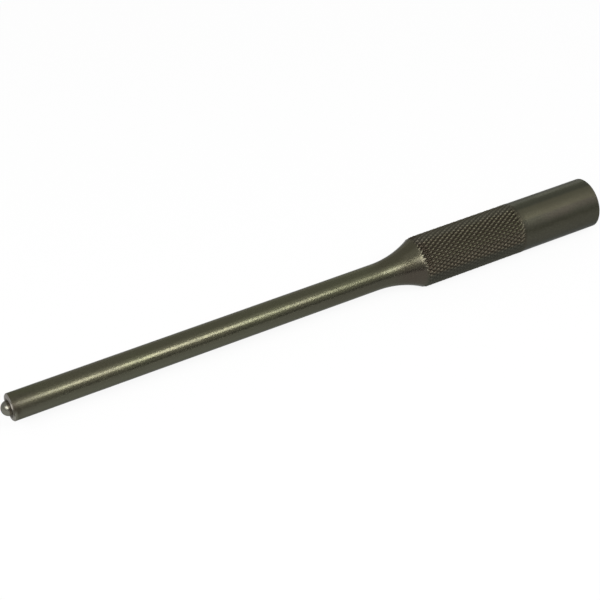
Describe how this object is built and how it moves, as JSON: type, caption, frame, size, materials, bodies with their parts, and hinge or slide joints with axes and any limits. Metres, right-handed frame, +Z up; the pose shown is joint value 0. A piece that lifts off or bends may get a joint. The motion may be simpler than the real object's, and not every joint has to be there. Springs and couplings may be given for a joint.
{
  "type": "pilot punch",
  "caption": "Round steel hand punch for spring pins: domed pilot on a slim straight shank, swept neck, diamond-knurled grip and plain struck head.",
  "frame": {"origin": "on the axis, at the flat driving face round the pilot's root", "axes": "+X along the tool from the pilot to the struck head, +Z up as the punch lies on a bench"},
  "size_m": [0.1498, 0.012, 0.012],
  "materials": {
    "steel": "black oxide, oiled, satin"
  },
  "bodies": {
    "root": {"punch": "steel"}
  },
  "joints": []
}
